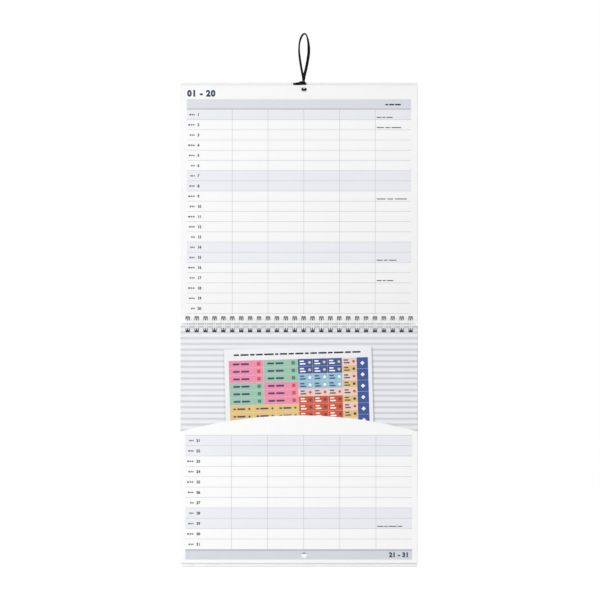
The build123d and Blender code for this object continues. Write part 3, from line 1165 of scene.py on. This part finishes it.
def stickers_of(colour):
    """The middle, width and height of each sticker of a colour, in metres."""
    fronts = bmesh.new()
    fronts.from_mesh(frame["nodes"][f"stickers_{colour}"].data)
    bmesh.ops.remove_doubles(fronts, verts=fronts.verts, dist=0.001 * mm)
    bmesh.ops.dissolve_limit(fronts, angle_limit=0.01, verts=fronts.verts, edges=fronts.edges)
    found = []
    for face in fronts.faces:
        if face.normal.y < -0.5:
            flat = [lean.inverted() @ v.co for v in face.verts]
            low, high = (Vector([pick(p[k] for p in flat) for k in range(3)]) for pick in (min, max))
            found.append((lean @ ((low + high) / 2), high.x - low.x, high.z - low.z))
    fronts.free()
    return sorted(found, key=lambda s: (round(-s[0].z, 4), s[0].x))


sticker_places = {colour: stickers_of(colour) for colour in sticker_colours}
print({colour: len(found) for colour, found in sticker_places.items()})

# %% [markdown]
# A mark is a list of outlines about the sticker's own middle. It is turned with the leaning sheet and set
# on the sticker's face. All the marks become one piece.

# %% Marks on the stickers
mark_colours = {
    "navy": (58, 62, 104), "white": (250, 250, 248), "red": (206, 74, 70), "green": (74, 128, 100),
    "yellow": (238, 196, 84),
}
mark = {
    name: paper(f"mark_{name}", linear(*colour), roughness=0.4, tooth=0.006)
    for name, colour in mark_colours.items()
}


def wide_label(half):
    """Two words and a square for a sticker as wide as twice this half, in mm about its middle."""
    return dashes(5.5 - half, 0, (10.0, 12.0), 2.8, gap=1.6), disc_outline(half - 6.5, 0, 3.4, 4, math.pi / 4)


def tag_label(half):
    """Two words and a small lozenge."""
    return dashes(4.5 - half, 0, (4.4, 12.0), 2.4, gap=1.2), disc_outline(half - 5.0, 0, 1.9, 4)


def small_label(half):
    """Two words, one over the other, and a hexagon."""
    words = dashes(2.4 - half, 1.9, (6.4,), 1.9) + dashes(2.4 - half, -1.9, (8.6,), 1.9)
    return words, disc_outline(half - 4.2, 0, 2.2, 6)


layouts = {
    "pink": (wide_label, "navy", "red"), "mint": (wide_label, "navy", "green"),
    "mustard": (tag_label, "navy", "navy"), "navy": (small_label, "white", "yellow"),
    "sky": (small_label, "navy", "white"), "blush": (small_label, "navy", "red"),
    "orange": (small_label, "white", "navy"),
}
square_from = 15.9  # a sticker taller than this is one of the squares at the sheet's edge
tag_from = 25  # a mustard sticker narrower than this has the small layout


def face_of(node, place):
    """Turns marks with the leaning sheet and puts them at a place, just in front of a solid."""
    return Matrix.Translation((place.x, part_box(node)[0].y + sink * mm, place.z)) @ lean


sticker_marks = []
for colour, (layout, word_finish, sign_finish) in layouts.items():
    for middle, width, height in sticker_places[colour]:
        square = height / mm > square_from
        chosen = small_label if colour == "mustard" and width / mm < tag_from else layout
        words, sign = ([], disc_outline(0, 0, 3.0, 4)) if square else chosen(width / mm / 2)
        marks = [printed([sign], mark["white" if square else sign_finish])]
        if words:
            marks.append(printed(words, mark[word_finish]))
        for mesh in marks:
            mesh.transform(face_of("stickers_pink", middle))
        sticker_marks += marks
print(len(sticker_marks), "marks")

# %% [markdown]
# One line of small dashes runs across the bare top of the sheet, where the real one has a line of print.

# %% Line above the stickers
line_words = (8, 12, 7, 10, 14, 5, 11, 8, 12, 6, 10, 12, 7, 14, 9, 12)
line_start = sheet_middle + lean @ Vector((-sheet_w / 2 + 13.5 * mm, 0, sheet_h / 2 - 8.6 * mm))
title_line = printed(dashes(0, 0, line_words, 2.4, gap=1.6), inks["figure"])
title_line.transform(face_of("sticker_sheet", line_start))
together("sticker_marks", [*sticker_marks, title_line], Matrix.Identity(4), "pocket_leaf")

# %% [markdown]
# The calendar hangs in an empty white studio. The world is plain white to the camera and to reflections,
# and dimmer as a light. A pale floor lies below. Where it is looked at it glows most of the way to white, and
# the rest of it is lit, so that it keeps the calendar's shadow.

# %% White studio
white = (1, 1, 1, 1)
world_light = 0.62
floor_drop = 0.25  # below the calendar's foot
floor_glow, glow_share = 1.25, 0.7  # the floor looks white where it is seen, and only there
floor_half = 8.0
scene.view_settings.view_transform = "Standard"


def seen_directly(tree):
    """1 where the camera, a reflection or a clear piece looks straight at something."""
    path = add(tree, "ShaderNodeLightPath").outputs
    some = maths(tree, "MAXIMUM", path["Is Camera Ray"], path["Is Glossy Ray"])
    return maths(tree, "MAXIMUM", some, path["Is Transmission Ray"])


def empty_tree(owner):
    """The tree of a world or a material, without its nodes."""
    owner.use_nodes = True
    owner.node_tree.nodes.clear()
    return owner.node_tree


def stage_plane(name, corners):
    """A plane of the stage, and the empty tree of its surface."""
    mesh = bpy.data.meshes.new(name)
    mesh.from_pydata(corners, [], [(0, 1, 2, 3)])
    surface = bpy.data.materials.new(name)
    made = bpy.data.objects.new(name, mesh)
    scene.collection.objects.link(made)
    mesh.materials.append(surface)
    return empty_tree(surface)


scene.world = bpy.data.worlds.new("studio")
tree = empty_tree(scene.world)
strength = ranged(tree, seen_directly(tree), 0.0, 1.0, world_light, 1.0)
sky = out(tree, "ShaderNodeBackground", {"Color": white, "Strength": strength})
add(tree, "ShaderNodeOutputWorld", {"Surface": sky})

floor_z = at(0, 0, -far_edge).z - floor_drop
floor_outline = box_outline(-floor_half, floor_half, -floor_half, floor_half)
tree = stage_plane("floor", [(x, y, floor_z) for x, y in floor_outline])
matt = out(tree, "ShaderNodeBsdfDiffuse", {"Color": white})
glow = out(tree, "ShaderNodeEmission", {"Color": white, "Strength": floor_glow})
share = maths(tree, "MULTIPLY", seen_directly(tree), glow_share)
ground = out(tree, "ShaderNodeMixShader", {0: share, 1: matt, 2: glow})
add(tree, "ShaderNodeOutputMaterial", {"Surface": ground})
print("floor at", round(floor_z, 3), "m")

# %% [markdown]
# The wall itself isn't wanted in the picture, but the punched holes look onto it and are dark because the
# sheets keep the light off it. So a few patches stand just behind the holes, and their dark is painted shade:
# each glows white, dimmed by the open share of its view raised to a set power, most towards the wire in the
# punched holes, less in the gap between the halves and least in the nail holes. The lowest hole has a darker
# painted shadow under its upper rim. The patches are seen only by the camera and from the front, and take no
# part in the light. Where less than a third of their view is closed in, as when the lower half is turned up,
# they are plain white.

# %% One patch of wall
behind_sheets = box_mm("back_cover")[1].y + 0.3
behind_wire = ring_r + wire_d / 2 + 0.3
shade_from = 30 * mm  # how near a sheet has to be to shade a patch
plain_from = 0.7  # the open share of its view from which a patch is plain white


def wall_patch(name, y, shade_powers, x, half_wide, foot, top):
    """A glowing patch of wall whose dark is painted shade, in mm from the wire's middle. Its powers at foot
    and top say how dark it gets.
    """
    corners = box_outline(x - half_wide, x + half_wide, foot, top)
    tree = stage_plane(name, [at(across, y, up) for across, up in corners])
    open_air = add(tree, "ShaderNodeAmbientOcclusion", {"Distance": shade_from}, samples=16).outputs["AO"]
    up = parts(tree, own_place(tree))["Z"]
    shade_power = ranged(tree, up, at(0, 0, foot).z, at(0, 0, top).z, *shade_powers)
    # painted shade: the glow is the open share of the view, raised to the power set for this height
    light = maths(tree, "POWER", ranged(tree, open_air, 0.0, plain_from), shade_power)
    lit = out(tree, "ShaderNodeEmission", {"Strength": light})
    clear = out(tree, "ShaderNodeBsdfTransparent")
    back_side = add(tree, "ShaderNodeNewGeometry").outputs["Backfacing"]
    camera_ray = add(tree, "ShaderNodeLightPath").outputs["Is Camera Ray"]
    from_front = maths(tree, "SUBTRACT", camera_ray, back_side, use_clamp=True)
    shown = out(tree, "ShaderNodeMixShader", {0: from_front, 1: clear, 2: lit})
    add(tree, "ShaderNodeOutputMaterial", {"Surface": shown})
    print(name, "shown")


# %% Patches behind the holes
wall_half = leaf_w / 2 - 0.5
nail = (nail_hole_x, nail_hole_r)
above, below = upper_nail_hole, -lower_nail_hole
rim = 4.2  # just past the edge of a nail hole
rim_shade = 1.4  # the lowest hole is darker from here up
wall_patch("wall_at_upper_holes", behind_sheets, (9.0, 1.0), 0, wall_half, 5, 12.5)
wall_patch("wall_at_the_gap", behind_wire, (0.45, 0.45), 0, wall_half + 0.3, -1.3, 3)
wall_patch("wall_at_lower_holes", behind_sheets, (1.4, 6.5), 0, wall_half, -12.5, -5)
wall_patch("wall_at_upper_nail_hole", behind_wire, (0.2, 0.2), *nail, above - rim, above + rim)
wall_patch("wall_at_lower_nail_hole", behind_sheets, (0.06, 0.06), *nail, below - rim, below + rim_shade)
# a painted shadow under the lowest nail hole's upper rim
wall_patch("wall_under_its_rim", behind_sheets, (1.4, 1.4), *nail, below + rim_shade, below + rim)

# %% [markdown]
# One large soft lamp stands in front on the left, so the left of the pages is a little brighter and the
# loops cast a short shadow to the right. A weaker one fills from the right, and one behind lights the covers.
# Together with the world they light white paper to nearly white.

# %% Lamps


def lamp(name, place, width, watts):
    """A square lamp at a place in metres from where the camera aims, turned to it."""
    data = bpy.data.lights.new(name, "AREA")
    data.shape = "SQUARE"
    data.size = width
    data.energy = watts
    made = bpy.data.objects.new(name, data)
    made.location = aim + Vector(place)
    made.rotation_euler = (-Vector(place)).to_track_quat("-Z", "Y").to_euler()
    scene.collection.objects.link(made)
    print("lamp", name, watts, "watts")


lamp("key", (-1.6, -1.6, 0.0), 0.9, 18.8)
lamp("fill", (1.8, -2.2, 0.0), 1.4, 5.5)
lamp("back", (0.9, 2.6, 0.3), 1.6, 14)
